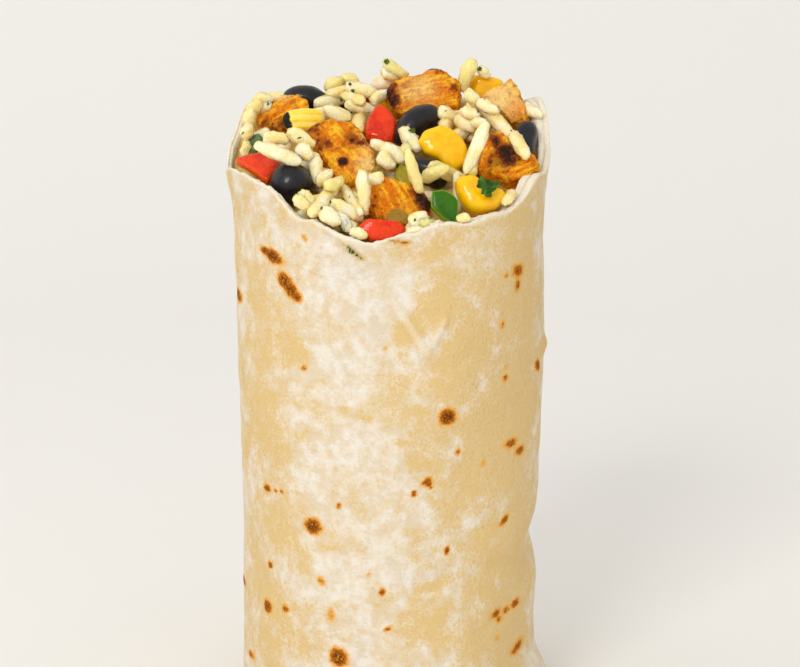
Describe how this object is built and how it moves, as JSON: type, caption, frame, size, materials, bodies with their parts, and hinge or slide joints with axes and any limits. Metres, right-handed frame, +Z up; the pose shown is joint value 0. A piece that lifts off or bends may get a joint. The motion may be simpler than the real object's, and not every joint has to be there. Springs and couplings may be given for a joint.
{
  "type": "burrito",
  "caption": "Upright burrito cut open on a slant, with rice, chicken, beans, sweetcorn and diced peppers heaped in the open top of a rolled wheat tortilla.",
  "frame": {"origin": "middle of the flat foot that it stands on", "axes": "+Z up along the roll, -Y towards the front, where the cut lip is lowest, +X to the right as seen from the front"},
  "size_m": [0.0646, 0.0622, 0.1285],
  "materials": {
    "tortilla": "dry soft wheat tortilla, pale cream, mottled with toasted brown spots",
    "rice": "moist cooked long-grain rice, pale cream with a green tinge",
    "chicken": "grilled marinated chicken, orange brown with charred edges",
    "bean": "cooked dark bean, near black, wet gloss",
    "sweetcorn": "cooked sweetcorn, bright yellow, wet gloss",
    "red_pepper": "diced red pepper, wet gloss",
    "green_pepper": "diced green pepper, wet gloss",
    "pickled_pepper": "pickled pepper, brownish olive, wet",
    "onion": "cooked onion, translucent pinkish cream",
    "coriander": "fresh herb leaf, dark green"
  },
  "bodies": {
    "root": {"bean_back_left": "bean", "bean_back_rim": "bean", "bean_back_top": "bean", "bean_front_left": "bean", "bean_middle": "bean", "bean_right": "bean", "bean_under_corn": "bean", "chicken_back": "chicken", "chicken_back_right": "chicken", "chicken_charred": "chicken", "chicken_diamond": "chicken", "chicken_front": "chicken", "chicken_left": "chicken", "coriander_leaf": "coriander", "corn_back_right": "sweetcorn", "corn_back_rim": "sweetcorn", "corn_charred": "sweetcorn", "corn_front": "sweetcorn", "corn_middle": "sweetcorn", "green_pepper_front": "green_pepper", "green_pepper_left": "green_pepper", "green_pepper_olive": "green_pepper", "onion_back": "onion", "onion_front": "onion", "pickled_pepper_front": "pickled_pepper", "pickled_pepper_middle": "pickled_pepper", "red_pepper_back": "red_pepper", "red_pepper_back_rim": "red_pepper", "red_pepper_front": "red_pepper", "red_pepper_left": "red_pepper", "red_pepper_middle": "red_pepper", "rice_filling": "rice", "tortilla": "tortilla"}
  },
  "joints": []
}
